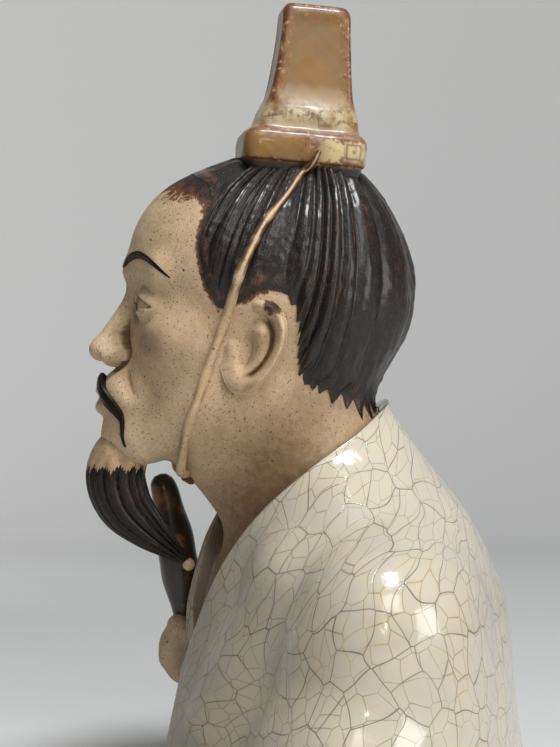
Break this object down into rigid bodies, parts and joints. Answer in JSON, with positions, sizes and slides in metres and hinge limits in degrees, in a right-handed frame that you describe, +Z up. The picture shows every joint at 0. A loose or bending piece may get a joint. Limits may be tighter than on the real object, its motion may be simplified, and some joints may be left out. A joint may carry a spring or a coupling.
{
  "type": "ceramic figurine",
  "caption": "Glazed ceramic head-and-shoulders figurine of a bearded scholar in a tall hat and wide robe, a handle in one fist, cut flat below.",
  "frame": {"origin": "on the flat underside, below the middle of the neck", "axes": "+Z up, the figure faces -Y and its left side is +X"},
  "size_m": [0.0882, 0.07, 0.1257],
  "materials": {
    "biscuit_clay": "unglazed sandy tan clay with dark specks",
    "hair_glaze": "brown-black semi-gloss glaze, worn orange-brown on the ridges",
    "amber_glaze": "glossy amber glaze, rust-brown at the edges",
    "crackle_glaze": "glossy ivory glaze with a net of fine grey cracks",
    "brown_glaze": "dark brown glaze with amber spots"
  },
  "bodies": {
    "root": {"figurine_bust": "biscuit_clay"}
  },
  "joints": []
}
